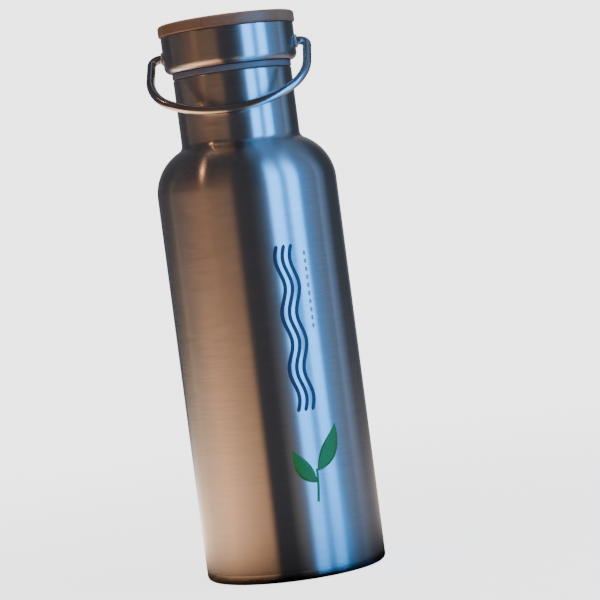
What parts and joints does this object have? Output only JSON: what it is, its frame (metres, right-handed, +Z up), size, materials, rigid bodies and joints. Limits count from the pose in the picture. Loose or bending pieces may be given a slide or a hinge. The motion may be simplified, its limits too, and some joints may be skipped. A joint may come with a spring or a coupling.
{
  "type": "insulated steel water bottle",
  "caption": "Double-wall steel water bottle with a screw lid topped by a bamboo disc and a round-wire bail handle that swings over the lid.",
  "frame": {"origin": "centre of the base, on the surface that the bottle stands on", "axes": "+Z up along the bottle's axis, -Y towards the front where the bail hangs, +X along the bail's pivot axis to the right"},
  "size_m": [0.073, 0.073, 0.225],
  "materials": {
    "brushed_steel": "satin, brushed round the axis",
    "plain_steel": "plain, electropolished",
    "wire_steel": "polished drawn wire",
    "bamboo": "sanded, oiled matt",
    "silicone": "matt light grey",
    "core_plastic": "moulded, fine matt",
    "bush_plastic": "moulded, smooth",
    "insulating_foam": "open cell foam",
    "getter_metal": "pressed powder",
    "seal_glass": "melted glass bead"
  },
  "bodies": {
    "bottle": {"outer_shell": "brushed_steel", "outer_bottom": "brushed_steel", "base_cover": "plain_steel", "port_seal_bead": "seal_glass", "inner_flask": "plain_steel", "inner_bottom": "plain_steel", "getter_holder": "plain_steel", "getter_pellet": "getter_metal"},
    "seal": {"gasket": "silicone"},
    "lid": {"lid_shell": "brushed_steel", "lid_core": "core_plastic", "foam_insert": "insulating_foam", "plug_plate": "plain_steel", "bamboo_disc": "bamboo", "bail_bush_left": "bush_plastic", "bail_bush_right": "bush_plastic"},
    "bail": {"bail_handle": "wire_steel"}
  },
  "joints": [
    {"name": "lid_rise", "type": "slide", "parent": "bottle", "child": "seal", "axis": [0, 0, 1], "range_m": [0, 0.016]},
    {"name": "lid_turn", "type": "hinge", "parent": "seal", "child": "lid", "pos_m": [0, 0, 0.2122], "axis": [0, 0, 1], "range_deg": [0, 720]},
    {"name": "bail_swing", "type": "hinge", "parent": "lid", "child": "bail", "pos_m": [0, 0, 0.21231], "axis": [-1, 0, 0], "range_deg": [0, 266.8]}
  ],
  "couplings": [
    {"joint": "lid_rise", "follows": "lid_turn", "m_per_rad": 0.0012732}
  ]
}
